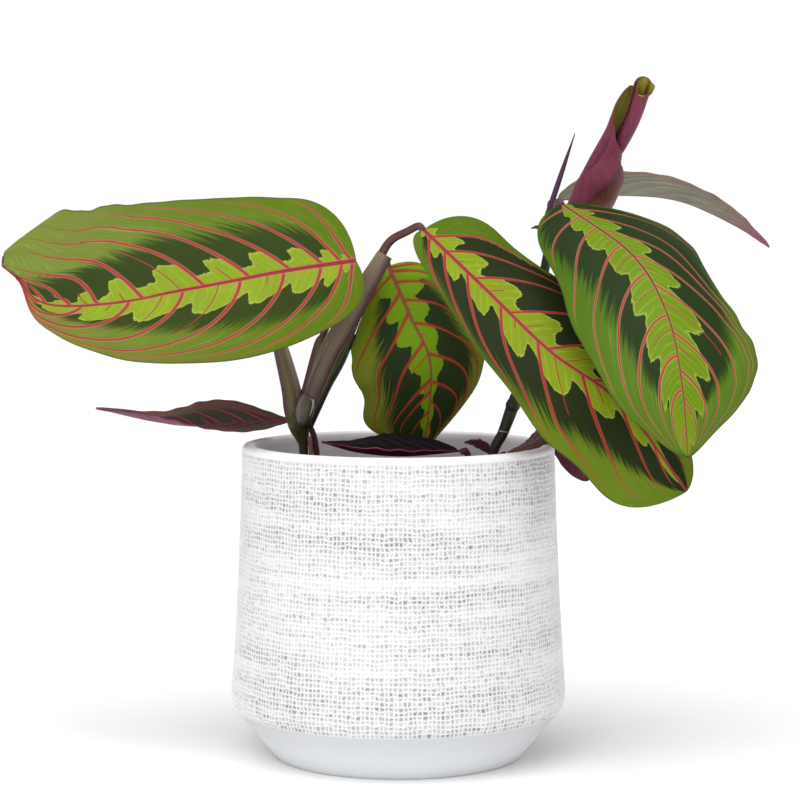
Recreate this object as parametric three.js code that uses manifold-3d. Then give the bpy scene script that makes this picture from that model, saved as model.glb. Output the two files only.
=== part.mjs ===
// A prayer plant in a round white pot: two leafy shoots rise from the soil, and each leaf
// blade sits at the end of a stalk that a sheath clasps. Millimetres, +Z up, seen from -Y,
// with the origin at the middle of the pot's flat underside.
import * as THREE from 'three';
import { mergeVertices } from 'three/addons/utils/BufferGeometryUtils.js';
import Module from 'manifold-3d';

// pot
const potHeight = 125;
const rimRadius = 62.5;
const wallThickness = 5.5;
const bellyRadius = 67.3;
const bellyHeight = 25;
const chamferRadius = 65.3;
const chamferHeight = 19;
const footRadius = 50.6;
const wallBends = [[66.6, 36], [65, 61], [63.5, 94]]; // radius and height up the outside
const innerBends = [[59.5, 60], [60.5, 28]]; // and down the inside
const innerFootRadius = 48;
const floorThickness = 8;
const potSides = 48;

// soil
const soilHeight = 105;
const soilRelief = 1.2;
const soilRings = [44, 32, 20, 9, 0];
const soilSides = 36;
const plantingDepth = 13;
const holeSides = 12;
const gap = 0.3; // between pieces that touch
const holeGap = 0.9; // round a stalk in the soil

// leaves
const bladeThickness = 0.8;
const rolledThickness = 0.6;
const bladeRows = 18;
const bladeColumns = 8;
const ribSpan = 0.2; // share of the midrib that sets the direction of the side ribs
const lobeFade = 6; // how fast the base lobes end towards the tip
const petioleEnds = [3.2, 0.7]; // last two points of a petiole, this far behind its blade
const innermostRadius = 0.9; // of the roll
const stalkSides = 8;
const stalkStep = 5;

// Each blade: midrib from base to tip; where its upper face looks; half widths of both sides,
// as the ellipse that would have them; how each side rises from the flat beside the midrib
// (fold) and turns further to the margin (curl), in degrees; and how far the lobes reach back.
// Left and right are as seen from above with the tip ahead.
const leaves = {
  leaf_large_left: {
    midrib: [
      [-17, -10, 198], [-45, -19, 194], [-77, -25, 188],
      [-108, -27, 183], [-135, -25, 185], [-155, -20, 196],
    ],
    facing: [[0, -0.85, 0.53], [0, -0.85, 0.53]],
    left: [45, 39, 37, 31, 24, 15, 3],
    right: [64, 47, 43, 44, 48, 57, 92],
    leftFold: [5, 5], rightFold: [5, 5], leftCurl: [-15, -15], rightCurl: [-15, -15],
    lobes: [8, 8], colour: 0x5f8f2e,
  },
  leaf_middle_right: {
    midrib: [[10, -8, 210], [34, -26, 187], [58, -44, 164], [84, -54, 145], [109, -52, 112]],
    facing: [[0.2, -0.75, 0.6], [0, -0.9, 0.4]],
    left: [66, 42, 35, 35, 28, 26, 30],
    right: [20, 18, 20, 22, 31, 37, 56],
    leftFold: [0, -15], rightFold: [0, -15], leftCurl: [-15, -15], rightCurl: [-15, -15],
    lobes: [10, 7], colour: 0x4c7a2c,
  },
  leaf_upper_right: {
    midrib: [[65, -6, 220], [89, -38, 201], [100, -60, 180], [104, -76, 156], [106, -82, 128]],
    facing: [[0.1, -0.6, 0.8], [0.1, -0.95, 0.25]],
    left: [88, 52, 32, 33, 38, 33, 14],
    right: [38, 35, 36, 34, 32, 30, 18],
    leftFold: [-5, -5], rightFold: [-5, -5], leftCurl: [-30, -30], rightCurl: [-30, -30],
    lobes: [7, 10], colour: 0x5a8a30,
  },
  leaf_centre_back: {
    midrib: [[-4, 16, 195.2], [5, 8, 175], [13, 2, 156], [11, 11, 123]],
    facing: [[0, -0.8, 0.6], [0, -1, -0.1]],
    left: [33, 20, 17, 19, 24, 20, 8],
    right: [9, 19, 27, 29, 32, 41, 56],
    leftFold: [0, 0], rightFold: [0, 0], leftCurl: [-20, -20], rightCurl: [-20, -20],
    lobes: [3, 3], colour: 0x3f6b2a,
  },
  leaf_edge_on_right: {
    midrib: [[67, 48, 222], [93, 51, 224], [118, 56, 221.8], [141, 62, 212.4], [158, 66, 202.6]],
    facing: [[0, 0, 1], [0, 0, 1]],
    left: [26, 26, 24, 21, 17, 13, 10],
    right: [40, 28, 21, 15, 12, 8, 6],
    leftFold: [24, 22], rightFold: [29, 26], leftCurl: [0, 0], rightCurl: [0, 0],
    lobes: [0, 0], colour: 0x8d8f78,
  },
  leaf_low_left: {
    midrib: [[-48, 15, 133.5], [-65, 19, 131.5], [-83, 23, 129.5], [-102, 26, 131.5], [-124.5, 28, 136.5]],
    facing: [[0, 0, 1], [0, 0, 1]],
    left: [17, 18, 15, 13, 12, 14, 20],
    right: [8, 11, 15, 16, 15, 12, 8],
    leftFold: [-10, -10, 8, 20, 4], rightFold: [20, 38, 36, 14, 14],
    leftCurl: [0, 0], rightCurl: [0, 0],
    lobes: [0, 0], colour: 0x4a3d3a,
  },
  leaf_hidden_back: {
    midrib: [[-57, 27, 184], [-75, 45, 190], [-97, 64, 191], [-120, 84, 184]],
    facing: [[0, -0.2, 1], [0, -0.2, 1]],
    left: [24, 26, 26, 24, 22],
    right: [24, 26, 26, 24, 22],
    leftFold: [8, 4], rightFold: [8, 4], leftCurl: [-10, -10], rightCurl: [-10, -10],
    lobes: [6, 6], colour: 0x55842f,
  },
  leaf_in_pot: {
    midrib: [[24, -12, 122.5], [2, -20, 121.5], [-16, -20, 123], [-30, -16, 126.5]],
    facing: [[0, 0, 1], [0, 0, 1]],
    left: [10, 13, 13, 10, 5],
    right: [14, 17, 15, 9, 4],
    leftFold: [10, 14], rightFold: [30, 26], leftCurl: [8, 8], rightCurl: [0, 0],
    lobes: [0, 0], colour: 0x2a1d24,
  },
  leaf_over_rim: {
    midrib: [[44, 4, 120.5], [53, 4.5, 124], [62, 6, 128], [73, 10, 120], [78, 16, 104]],
    facing: [[0, 0, 1], [0, 0, 1], [0, 0, 1], [0.5, 0.4, 0.7], [0.5, 0.85, 0.1]],
    left: [10, 13, 14, 16, 19, 22, 18],
    right: [10, 12, 12, 12, 12, 12, 10],
    leftFold: [-3, -2, 0, 0, 0], rightFold: [-8, -4, 5, 0, 0],
    leftCurl: [0, 0], rightCurl: [0, 0],
    lobes: [0, 0], colour: 0x7a1f48,
  },
  leaf_small: {
    midrib: [[36, -3, 121], [31, -5, 124], [26.5, -6, 125.5]],
    facing: [[0, 0.3, 1], [0, 0.3, 1]],
    left: [5, 5, 4],
    right: [5, 5, 4],
    leftFold: [20, 20], rightFold: [20, 20], leftCurl: [0, 0], rightCurl: [0, 0],
    lobes: [0, 0], colour: 0x74505a,
  },
};

// The young leaf that is still rolled up. From base to top: its axis, the outer radius, how far
// the outer margin stands off from it, the winding in turns, and the place of that margin round
// the axis in degrees (0 is -Y, 90 is +X).
const rolledLeaf = {
  axis: [[71, 22, 206.5], [97.7, -2, 269.3]],
  outerRadius: [1.9, 8.9, 9.8, 7.4, 5.6, 4.8, 4.7, 4.6],
  marginFlare: [0, 0, 1.2, 2.6, 3.2, 3, 1, 0],
  turns: [0.4, 1.3, 1.8, 1.9, 1.9, 1.9, 1.8, 1.6],
  marginAngle: [230, 215, 170, 95, 15, -45, -85, -100],
  flareFade: 6,
  turnSpacing: 1.3,
  rows: 18,
  columns: 24,
};

// Stalks and sheaths of both shoots: a route from the root up, and the radius along it.
const leftShoot = [
  { // main stem
    route: [[-38, 8, 92], [-38.2, 8, 118], [-38.6, 8, 126], [-39, 7.5, 131], [-38, 7, 135]],
    radius: [1.9, 1.9, 2.6, 4.5, 4.2],
  },
  { // thin side stem
    route: [[-36, 11, 92], [-35.6, 11.5, 118], [-36.8, 10, 128]],
    radius: [0.8, 0.8, 0.8],
  },
  { // outer sheath
    route: [[-41, 8.5, 130], [-44.7, 14, 145.5], [-49, 20, 163], [-52.6, 24, 175]],
    radius: [3.8, 3.5, 2.9, 1.4],
  },
  { // long sheath to the right
    route: [[-37.8, 6, 130], [-33.3, 4, 144], [-24, 3, 164], [-14, 3, 186], [-5.5, 4, 200.5]],
    radius: [4.2, 4.2, 4.1, 4.1, 3.2],
  },
  { // internode beside the long sheath
    route: [[-37.6, 9, 131], [-30, 9, 145.8], [-22.2, 6.5, 162], [-17.6, 4.5, 173]],
    radius: [3, 2.6, 2.2, 1.2],
  },
  { // short sheath between the two
    route: [[-38.7, 10, 134], [-36.5, 13, 147], [-33, 14, 158], [-30.9, 12.5, 167]],
    radius: [3, 2.9, 2.6, 1.8],
  },
];
const leftPetioles = [
  { leaf: 'leaf_hidden_back', route: [[-50, 22, 168], [-52.6, 24, 175]], radius: [1.5, 1.4] },
  {
    leaf: 'leaf_middle_right',
    route: [[-10, 3.5, 193], [-6, 4, 202], [-2.5, 2, 206.6], [3.5, -3, 209.8]],
    radius: [1.8, 1.4],
  },
  {
    leaf: 'leaf_centre_back',
    route: [[-22, 8, 162], [-14.5, 15, 180], [-8.5, 20, 191]],
    radius: [1.6, 1.3],
  },
  {
    leaf: 'leaf_large_left',
    route: [[-33, 14, 159], [-30.9, 12.5, 167], [-26.3, 6, 177], [-21.6, -3, 188]],
    radius: [1.5, 1.3],
  },
];
const rightShoot = [
  { // main stem, thickest at its joint above the rim
    route: [
      [38, 10, 92], [38, 10, 118], [42.4, 10, 128.7], [46.4, 11, 139.6],
      [49.7, 12, 149.7], [55.2, 12, 174], [59.5, 10, 197.5], [61.8, 8, 211],
    ],
    radius: [2, 2, 2.2, 2.6, 2, 1.9, 1.9, 1.7],
  },
  { // stub below the spear
    route: [[60.6, 9.4, 205], [59.3, 10.3, 211.7]],
    radius: [1.6, 1.3],
  },
  { // stalk of the rolled leaf
    route: [[59.4, 10, 197], [66, 15, 201], [71.3, 20.8, 205.2]],
    radius: [1.5, 1.4, 1.3],
  },
];
const rightPetioles = [
  { leaf: 'leaf_upper_right', route: [[61.4, 8.2, 209], [62.6, 5, 215.6]], radius: [1.6, 1.4] },
  {
    leaf: 'leaf_edge_on_right',
    route: [[61.2, 8.6, 207], [62, 20, 213], [62.6, 36, 219.5]],
    radius: [1.4, 1.1],
  },
];
const looseStalks = {
  stalk_low_left: {
    leaf: 'leaf_low_left',
    route: [[-33.5, 16, 92], [-33.3, 16, 117.5], [-35.5, 17.5, 129], [-40, 19.2, 132.6]],
    radius: [1.3, 1.1], colour: 0x4a2a2e,
  },
  stalk_in_pot: {
    leaf: 'leaf_in_pot',
    route: [[29, -7, 92], [29, -8, 112]],
    radius: [1.3, 1.2], colour: 0x2e1c22,
  },
  stalk_over_rim: {
    leaf: 'leaf_over_rim',
    route: [[34, 2, 92], [34.5, 2.6, 112]],
    radius: [1.3, 1.2], colour: 0x5a2238,
  },
  stalk_small: {
    leaf: 'leaf_small',
    route: [[38, -4, 92], [38.2, -3.4, 112]],
    radius: [1, 0.9], colour: 0x5a3a40,
  },
};
const spear = {
  route: [[58.9, 10.5, 212.9], [65, 8, 232], [70.6, 6, 249]],
  radius: [1.2, 1, 0.15],
};

const colours = {
  pot: 0xe9e9e7, soil: 0x3a2a20, leftStem: 0x4d4a30,
  rightStem: 0x333a28, rolled: 0x74304a, spear: 0x3c2234,
};

const wasm = await Module();
wasm.setup();

// value at u from 0 to 1 on a smooth curve through evenly spread values
function along(values, u) {
  const last = values.length - 1;
  const place = THREE.MathUtils.clamp(u, 0, 1) * last;
  const i = Math.min(Math.floor(place), last - 1);
  const t = place - i;
  const [b, c] = [values[i], values[i + 1]];
  const a = i > 0 ? values[i - 1] : 2 * b - c;
  const d = i < last - 1 ? values[i + 2] : 2 * c - b;
  return b + 0.5 * t * (c - a + t * (2 * a - 5 * b + 4 * c - d + t * (3 * b - a - 3 * c + d)));
}

function pointAlong(points, u) {
  return new THREE.Vector3(...[0, 1, 2].map((axis) => along(points.map((p) => p[axis]), u)));
}

// a point on a blade's underside; u runs from base to tip, v from the left margin to the right
function bladePoint(leaf, u, v) {
  const ahead = pointAlong(leaf.midrib, Math.min(u + ribSpan, 1));
  const heading = ahead.sub(pointAlong(leaf.midrib, Math.max(u - ribSpan, 0))).normalize();
  const aside = heading.clone().cross(pointAlong(leaf.facing, u)).normalize();
  const upward = aside.clone().cross(heading);
  const side = v < 0 ? 'left' : 'right';
  const t = Math.abs(v);
  const ellipse = 2 * Math.sqrt(Math.max(u * (1 - u), 0));
  const halfWidth = ellipse * along(leaf[side], u);
  const fold = THREE.MathUtils.degToRad(along(leaf[`${side}Fold`], u));
  const curl = THREE.MathUtils.degToRad(along(leaf[`${side}Curl`], u)) || 1e-4;
  const reach = halfWidth * (Math.sin(fold + curl * t) - Math.sin(fold)) / curl;
  const rise = halfWidth * (Math.cos(fold) - Math.cos(fold + curl * t)) / curl;
  const back = leaf.lobes[v < 0 ? 0 : 1] * t * t * (1 - u) ** lobeFade * Math.min(1, ellipse * 1.5);
  return pointAlong(leaf.midrib, u)
    .addScaledVector(aside, Math.sign(v) * reach)
    .addScaledVector(upward, rise)
    .addScaledVector(heading, -back);
}

// a point on the inner face of the rolled leaf; s runs up the axis, t from the inner margin out
function rolledPoint(s, t) {
  const [base, top] = rolledLeaf.axis.map((p) => new THREE.Vector3(...p));
  const up = top.clone().sub(base).normalize();
  const front = new THREE.Vector3(0, -1, 0).addScaledVector(up, up.y).normalize();
  const right = up.clone().cross(front);
  const turns = along(rolledLeaf.turns, s);
  const outer = along(rolledLeaf.outerRadius, s);
  const inner = Math.max(outer - turns * rolledLeaf.turnSpacing, innermostRadius);
  const flare = along(rolledLeaf.marginFlare, s) * t ** rolledLeaf.flareFade;
  const radius = inner + (outer - inner) * t + flare;
  const marginAngle = THREE.MathUtils.degToRad(along(rolledLeaf.marginAngle, s));
  const angle = marginAngle - 2 * Math.PI * turns * (1 - t);
  return base.lerp(top, s)
    .addScaledVector(front, radius * Math.cos(angle))
    .addScaledVector(right, radius * Math.sin(angle));
}

// a closed sheet: the surface, a copy of it one thickness above or outside, and the edge between
function sheet(surface, rows, columns, thickness, [firstV, lastV], roundedEnds) {
  const step = 1e-3;
  const faces = [[], []];
  for (let i = 0; i <= rows; i++) {
    for (let j = 0; j <= columns; j++) {
      const u = roundedEnds ? (1 - Math.cos((Math.PI * i) / rows)) / 2 : i / rows;
      const v = THREE.MathUtils.lerp(firstV, lastV, j / columns);
      const here = surface(u, v);
      const uInside = THREE.MathUtils.clamp(u, step, 1 - step);
      const atPole = surface(u, firstV).distanceTo(surface(u, lastV)) < 1e-6;
      const vNear = THREE.MathUtils.clamp(v, firstV + step, lastV - step);
      const vInside = atPole ? (firstV + lastV) / 2 : vNear;
      const alongU = surface(uInside + step, vInside).sub(surface(uInside - step, vInside));
      const alongV = surface(uInside, vInside + step).sub(surface(uInside, vInside - step));
      const normal = alongV.cross(alongU).normalize();
      faces[0].push(here);
      faces[1].push(here.clone().addScaledVector(normal, thickness));
    }
  }
  const at = (face, i, j) => faces[face][i * (columns + 1) + j];
  const positions = [];
  const triangle = (a, b, c) => {
    const flat = a.distanceTo(b) < 1e-6 || b.distanceTo(c) < 1e-6 || c.distanceTo(a) < 1e-6;
    if (!flat) positions.push(...a, ...b, ...c);
  };
  const quad = (a, b, c, d) => {
    triangle(a, b, c);
    triangle(a, c, d);
  };
  for (let i = 0; i < rows; i++) {
    for (let j = 0; j < columns; j++) {
      triangle(at(0, i, j), at(0, i + 1, j), at(0, i + 1, j + 1));
      triangle(at(0, i, j), at(0, i + 1, j + 1), at(0, i, j + 1));
      triangle(at(1, i, j), at(1, i + 1, j + 1), at(1, i + 1, j));
      triangle(at(1, i, j), at(1, i, j + 1), at(1, i + 1, j + 1));
    }
    quad(at(0, i, 0), at(1, i, 0), at(1, i + 1, 0), at(0, i + 1, 0));
    quad(at(0, i, columns), at(0, i + 1, columns), at(1, i + 1, columns), at(1, i, columns));
  }
  for (let j = 0; j < columns; j++) {
    quad(at(0, 0, j), at(0, 0, j + 1), at(1, 0, j + 1), at(1, 0, j));
    quad(at(0, rows, j), at(1, rows, j), at(1, rows, j + 1), at(0, rows, j + 1));
  }
  const geometry = new THREE.BufferGeometry();
  geometry.setAttribute('position', new THREE.Float32BufferAttribute(positions, 3));
  return geometry;
}

// a round stalk of changing thickness, closed by a flat cap at both ends
function stalk(route, radius) {
  const curve = new THREE.CatmullRomCurve3(route.map((p) => new THREE.Vector3(...p)));
  const steps = Math.max(3, Math.round(curve.getLength() / stalkStep));
  const frames = curve.computeFrenetFrames(steps, false);
  const rings = [];
  for (let i = 0; i <= steps; i++) {
    const centre = curve.getPointAt(i / steps);
    rings.push(Array.from({ length: stalkSides }, (_, k) => {
      const angle = (2 * Math.PI * k) / stalkSides;
      const r = along(radius, i / steps);
      return centre.clone()
        .addScaledVector(frames.normals[i], r * Math.cos(angle))
        .addScaledVector(frames.binormals[i], r * Math.sin(angle));
    }));
  }
  const positions = [];
  const triangle = (a, b, c) => positions.push(...a, ...b, ...c);
  for (let k = 0; k < stalkSides; k++) {
    const next = (k + 1) % stalkSides;
    for (let i = 0; i < steps; i++) {
      triangle(rings[i][k], rings[i][next], rings[i + 1][next]);
      triangle(rings[i][k], rings[i + 1][next], rings[i + 1][k]);
    }
    triangle(curve.getPointAt(0), rings[0][next], rings[0][k]);
    triangle(curve.getPointAt(1), rings[steps][k], rings[steps][next]);
  }
  const geometry = new THREE.BufferGeometry();
  geometry.setAttribute('position', new THREE.Float32BufferAttribute(positions, 3));
  return geometry;
}

// a stalk's route carried on until just short of its blade, in line with the midrib
function petioleRoute(petiole) {
  const leaf = leaves[petiole.leaf];
  const [base, next] = leaf.midrib.slice(0, 2).map((p) => new THREE.Vector3(...p));
  const heading = next.sub(base).normalize();
  const behind = (distance) => base.clone().addScaledVector(heading, -distance).toArray();
  return [...petiole.route, ...petioleEnds.map(behind)];
}

function toSolid(geometry) {
  const bare = geometry.clone();
  bare.deleteAttribute('normal');
  bare.deleteAttribute('uv');
  const merged = mergeVertices(bare, 1e-4);
  return new wasm.Manifold(new wasm.Mesh({
    numProp: 3,
    vertProperties: new Float32Array(merged.attributes.position.array),
    triVerts: new Uint32Array(merged.index.array),
  }));
}

function toGeometry(solid) {
  const mesh = solid.getMesh();
  const geometry = new THREE.BufferGeometry();
  geometry.setAttribute('position', new THREE.Float32BufferAttribute(mesh.vertProperties, 3));
  geometry.setIndex([...mesh.triVerts]);
  return geometry;
}

function fuse(geometries) {
  return toGeometry(geometries.map(toSolid).reduce((whole, piece) => whole.add(piece)));
}

function turned(profile, sides) {
  const points = profile.map(([r, z]) => new THREE.Vector2(r, z));
  return new THREE.LatheGeometry(points, sides).rotateX(Math.PI / 2);
}

// the pot: turned wall with a rounded lip, a belly low down and a chamfer to the foot
function potGeometry() {
  const inside = rimRadius - wallThickness;
  return turned([
    [0, 0], [footRadius - 0.8, 0], [footRadius, 0.8], [chamferRadius, chamferHeight],
    [bellyRadius - 0.4, chamferHeight + 2.5], [bellyRadius, bellyHeight], ...wallBends,
    [rimRadius, potHeight - 3], [rimRadius - 0.4, potHeight - 1], [rimRadius - 1.6, potHeight],
    [inside + 1.2, potHeight], [inside + 0.2, potHeight - 0.8], [inside, potHeight - 3],
    ...innerBends, [innerFootRadius, floorThickness], [0, floorThickness],
  ], potSides);
}

// the potting soil: it fills the pot to below the rim, with an uneven top and a hole per stalk
function soilGeometry(rooted) {
  const inside = rimRadius - wallThickness - gap;
  const floor = floorThickness + gap;
  const geometry = turned([
    [0, floor], [innerFootRadius - 0.2, floor], [innerBends[1][0] - 0.5, innerBends[1][1] + 0.4],
    [innerBends[0][0] - 0.4, innerBends[0][1]], [inside + 0.7, soilHeight - 3],
    [inside - 2, soilHeight], ...soilRings.map((r) => [r, soilHeight]),
  ], soilSides);
  const position = geometry.attributes.position;
  for (let i = 0; i < position.count; i++) {
    if (position.getZ(i) < soilHeight - 0.1) continue;
    const [x, y] = [position.getX(i), position.getY(i)];
    const bumps = Math.sin(x / 7 + 1) * Math.cos(y / 6) + 0.6 * Math.sin((x + 2 * y) / 9);
    position.setZ(i, soilHeight + soilRelief * bumps);
  }
  let solid = toSolid(geometry);
  for (const { route, radius } of rooted) {
    const [x, y] = route[0];
    const wide = radius[0] + holeGap;
    const hole = new THREE.CylinderGeometry(wide, wide, 2 * plantingDepth + 8, holeSides)
      .rotateX(Math.PI / 2)
      .translate(x, y, soilHeight);
    solid = solid.subtract(toSolid(hole));
  }
  return toGeometry(solid);
}

const plant = new THREE.Group();

function addNode(name, geometry, colour, roughness) {
  const material = new THREE.MeshStandardMaterial({ color: colour, roughness, metalness: 0 });
  const mesh = new THREE.Mesh(geometry, material);
  mesh.name = name;
  plant.add(mesh);
}

const plainStalk = ({ route, radius }) => stalk(route, radius);
const petioleStalk = (petiole) => stalk(petioleRoute(petiole), petiole.radius);
const rooted = [leftShoot[0], leftShoot[1], rightShoot[0], ...Object.values(looseStalks)];

addNode('pot', potGeometry(), colours.pot, 0.6);
addNode('soil', soilGeometry(rooted), colours.soil, 0.95);
const leftPieces = [...leftShoot.map(plainStalk), ...leftPetioles.map(petioleStalk)];
addNode('shoot_left', fuse(leftPieces), colours.leftStem, 0.5);
const rightPieces = [...rightShoot.map(plainStalk), ...rightPetioles.map(petioleStalk)];
addNode('shoot_right', fuse(rightPieces), colours.rightStem, 0.5);
for (const [name, petiole] of Object.entries(looseStalks)) {
  addNode(name, petioleStalk(petiole), petiole.colour, 0.5);
}
for (const [name, leaf] of Object.entries(leaves)) {
  const surface = (u, v) => bladePoint(leaf, u, v);
  const blade = sheet(surface, bladeRows, bladeColumns, bladeThickness, [-1, 1], true);
  addNode(name, blade, leaf.colour, 0.45);
}
const { rows, columns } = rolledLeaf;
const rolled = sheet(rolledPoint, rows, columns, rolledThickness, [0, 1], false);
addNode('leaf_rolled', rolled, colours.rolled, 0.5);
addNode('leaf_spear', plainStalk(spear), colours.spear, 0.5);

export default plant;
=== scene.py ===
import math
import random

import bpy
import numpy as np
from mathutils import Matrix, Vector


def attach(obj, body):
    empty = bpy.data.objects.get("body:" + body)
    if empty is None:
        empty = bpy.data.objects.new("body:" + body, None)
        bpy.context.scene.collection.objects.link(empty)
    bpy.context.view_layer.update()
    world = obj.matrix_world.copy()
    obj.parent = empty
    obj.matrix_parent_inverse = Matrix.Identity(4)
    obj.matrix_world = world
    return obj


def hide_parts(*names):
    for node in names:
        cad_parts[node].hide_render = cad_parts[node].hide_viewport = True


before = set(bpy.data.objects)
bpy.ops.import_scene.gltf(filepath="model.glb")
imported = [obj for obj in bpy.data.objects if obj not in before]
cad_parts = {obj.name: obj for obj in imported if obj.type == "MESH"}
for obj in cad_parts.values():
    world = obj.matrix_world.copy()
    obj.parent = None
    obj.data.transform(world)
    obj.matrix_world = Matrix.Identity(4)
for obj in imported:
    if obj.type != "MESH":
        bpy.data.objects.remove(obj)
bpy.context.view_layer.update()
mm = 0.001


# shared helpers for pieces

def pickOnly(*pieces):
    bpy.ops.object.select_all(action="DESELECT")
    for piece in pieces:
        piece.select_set(True)
    bpy.context.view_layer.objects.active = pieces[0]


def inEditMode(piece, *steps):  # each step is a mesh operator and its settings
    pickOnly(piece)
    bpy.ops.object.mode_set(mode="EDIT")
    for operator, settings in steps:
        operator(**settings)
    bpy.ops.object.mode_set(mode="OBJECT")


selectAll = (bpy.ops.mesh.select_all, {"action": "SELECT"})
selectNone = (bpy.ops.mesh.select_all, {"action": "DESELECT"})
weldPoints = (bpy.ops.mesh.remove_doubles, {"threshold": 1e-6})
turnFacesOut = (bpy.ops.mesh.normals_make_consistent, {"inside": False})


def smoothFaces(piece, degrees=60):
    pickOnly(piece)
    bpy.ops.object.shade_smooth_by_angle(angle=math.radians(degrees))


def thicken(piece, top, under, thickness, rimFinish):  # a sheet gets its other side, downwards
    piece.data.materials.append(top)
    piece.data.materials.append(under)
    pickOnly(piece)
    modifier = piece.modifiers.new("Thickness", "SOLIDIFY")
    modifier.thickness = thickness * mm
    modifier.offset = -1
    modifier.use_even_offset = False
    modifier.material_offset = 1
    modifier.material_offset_rim = rimFinish
    bpy.ops.object.modifier_apply(modifier=modifier.name)
    smoothFaces(piece)


def joinPieces(name, pieces):
    pickOnly(*pieces)
    bpy.ops.object.join()
    joined = bpy.context.active_object
    joined.name = joined.data.name = name
    return joined


def placeOnPlant(piece, node):  # stands for a solid of the frame
    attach(piece, "root")
    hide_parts(node)


def along(values, u):  # smooth curve through evenly spread values, u from 0 to 1
    points = np.array(values, float)
    last = len(points) - 1
    ends = [2 * points[:1] - points[1:2], points, 2 * points[-1:] - points[-2:-1]]
    spread = np.concatenate(ends)
    place = np.clip(np.asarray(u, float), 0, 1) * last
    i = np.minimum(place.astype(int), last - 1)
    t = place - i
    if points.ndim > 1:
        t = t[..., None]
    a, b, c, d = (spread[i + k] for k in range(4))
    return b + 0.5 * t * (c - a + t * (2 * a - 5 * b + 4 * c - d + t * (3 * b - a - 3 * c + d)))


def unit(vectors):  # the same directions, one long
    return vectors / np.maximum(np.linalg.norm(vectors, axis=-1, keepdims=True), 1e-12)


def gridPiece(name, points, values, tube=False):
    # a grid laid on a surface, with its rows along the piece, and values that its finish reads
    rows, columns = points.shape[0] - 1, points.shape[1] - 1
    bpy.ops.object.select_all(action="DESELECT")
    bpy.ops.mesh.primitive_grid_add(x_subdivisions=columns, y_subdivisions=rows, size=1)
    piece = bpy.context.active_object
    piece.name = piece.data.name = name
    flat = np.empty(len(piece.data.vertices) * 3)
    piece.data.vertices.foreach_get("co", flat)
    flat = flat.reshape(-1, 3)
    order = np.lexsort((np.round(flat[:, 0], 5), np.round(flat[:, 1], 5)))
    laid = np.empty_like(flat)
    laid[order] = points.reshape(-1, 3) * mm
    piece.data.vertices.foreach_set("co", laid.ravel())
    for label, value in values.items():
        stored = np.empty(len(flat))
        stored[order] = value.ravel()
        piece.data.attributes.new(label, "FLOAT", "POINT").data.foreach_set("value", stored)
    closing = ((bpy.ops.mesh.fill_holes, {"sides": 0}), turnFacesOut) if tube else ()
    inEditMode(piece, selectAll, weldPoints, *closing)
    smoothFaces(piece)
    return piece


# shared helpers for materials

def colour(red, green, blue):  # display values from 0 to 255
    def linear(value):
        share = value / 255
        return share / 12.92 if share <= 0.04045 else ((share + 0.055) / 1.055) ** 2.4
    return (linear(red), linear(green), linear(blue), 1)


def addNode(tree, kind, inputs=None, **settings):
    node = tree.nodes.new(kind)
    for name, value in settings.items():
        setattr(node, name, value)
    for key, value in (inputs or {}).items():
        if isinstance(value, Field):
            value = value.socket
        if isinstance(value, bpy.types.NodeSocket):
            tree.links.new(value, node.inputs[key])
        else:
            node.inputs[key].default_value = value
    return node


class Field:  # a number in a node tree, with the usual sums written as sums
    def __init__(self, tree, socket):
        self.tree, self.socket = tree, socket

    def step(self, operation, *others):
        inputs = dict(enumerate((self,) + others))
        return Field(self.tree, addNode(self.tree, "ShaderNodeMath", inputs, operation=operation).outputs[0])

    def __add__(self, other):
        return self.step("ADD", other)

    def __sub__(self, other):
        return self.step("SUBTRACT", other)

    def __mul__(self, other):
        return self.step("MULTIPLY", other)

    def __truediv__(self, other):
        return self.step("DIVIDE", other)

    def __radd__(self, other):
        return self + other

    def __rsub__(self, other):
        return (self - other) * -1

    def __rmul__(self, other):
        return self * other

    def fade(self, start, end):  # 0 at start and 1 at end, smooth between
        inputs = {"Value": self, "From Min": start, "From Max": end}
        node = addNode(self.tree, "ShaderNodeMapRange", inputs, interpolation_type="SMOOTHSTEP")
        return Field(self.tree, node.outputs["Result"])

    def curve(self, points):  # a drawn line through points, from 0 to 1
        node = addNode(self.tree, "ShaderNodeFloatCurve", {"Value": self})
        line = node.mapping.curves[0].points
        line[0].location, line[1].location = points[0], points[-1]
        for place in points[1:-1]:
            line.new(*place)
        node.mapping.update()
        return Field(self.tree, node.outputs["Value"])


def blend(tree, share, first, second, kind="MIX"):
    inputs = {0: share, 6: first, 7: second}
    node = addNode(tree, "ShaderNodeMix", inputs, data_type="RGBA", blend_type=kind)
    return node.outputs[2]


def attribute(tree, name):
    return Field(tree, addNode(tree, "ShaderNodeAttribute", attribute_name=name).outputs["Fac"])


def noise(tree, scale, detail=3, place=None):
    if place is None:
        place = addNode(tree, "ShaderNodeTexCoord").outputs["Object"]
    inputs = {"Vector": place, "Scale": scale, "Detail": detail, "Roughness": 0.6}
    return Field(tree, addNode(tree, "ShaderNodeTexNoise", inputs).outputs["Fac"])


def spot(tree, x, y, z=0.0):
    return addNode(tree, "ShaderNodeCombineXYZ", {"X": x, "Y": y, "Z": z}).outputs["Vector"]


def objectPlace(tree, stretch=(1, 1, 1)):
    place = addNode(tree, "ShaderNodeTexCoord").outputs["Object"]
    return addNode(tree, "ShaderNodeMapping", {"Vector": place, "Scale": stretch}).outputs["Vector"]


def shaded(tree, tone, share):  # the same colour, lighter or darker
    grey = addNode(tree, "ShaderNodeCombineColor", {0: share, 1: share, 2: share}).outputs[0]
    return blend(tree, 1.0, tone, grey, "MULTIPLY")


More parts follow.
